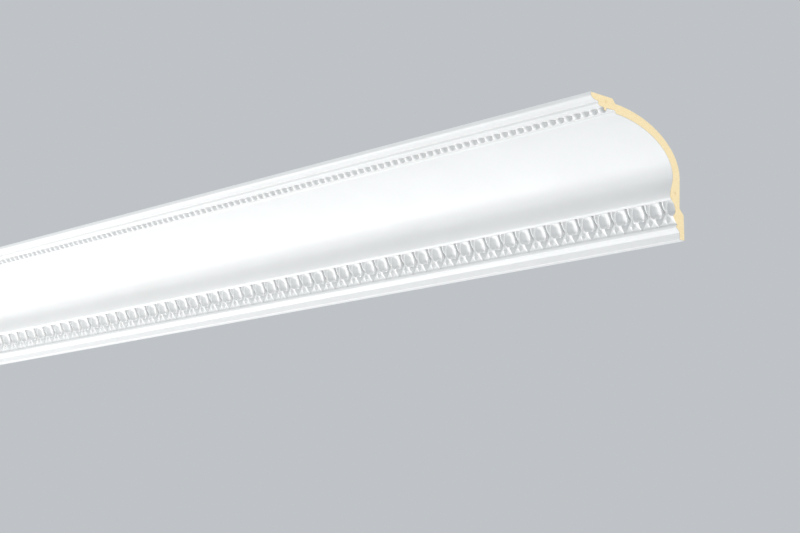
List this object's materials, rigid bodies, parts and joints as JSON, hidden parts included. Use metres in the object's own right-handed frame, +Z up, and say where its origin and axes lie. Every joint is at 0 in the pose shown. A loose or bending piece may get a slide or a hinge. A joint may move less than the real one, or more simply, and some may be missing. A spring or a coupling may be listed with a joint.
{
  "type": "cornice moulding length",
  "caption": "Straight cast cornice length with a plain cove, a pearl row under the crown and a leaf-and-dart frieze, cut square at both ends.",
  "frame": {"origin": "middle of the flat strip that is fixed to the wall, halfway along the length", "axes": "+X along the length, +Y into the wall, +Z up towards the ceiling"},
  "size_m": [1.363, 0.155, 0.135],
  "materials": {
    "primed_skin": "white factory primer on a moulded foam skin, matt and very slightly dimpled",
    "foam_core": "bare sawn rigid polyurethane foam, cream, finely cellular with a few small voids"
  },
  "bodies": {
    "root": {"cornice": "primed_skin"}
  },
  "joints": []
}
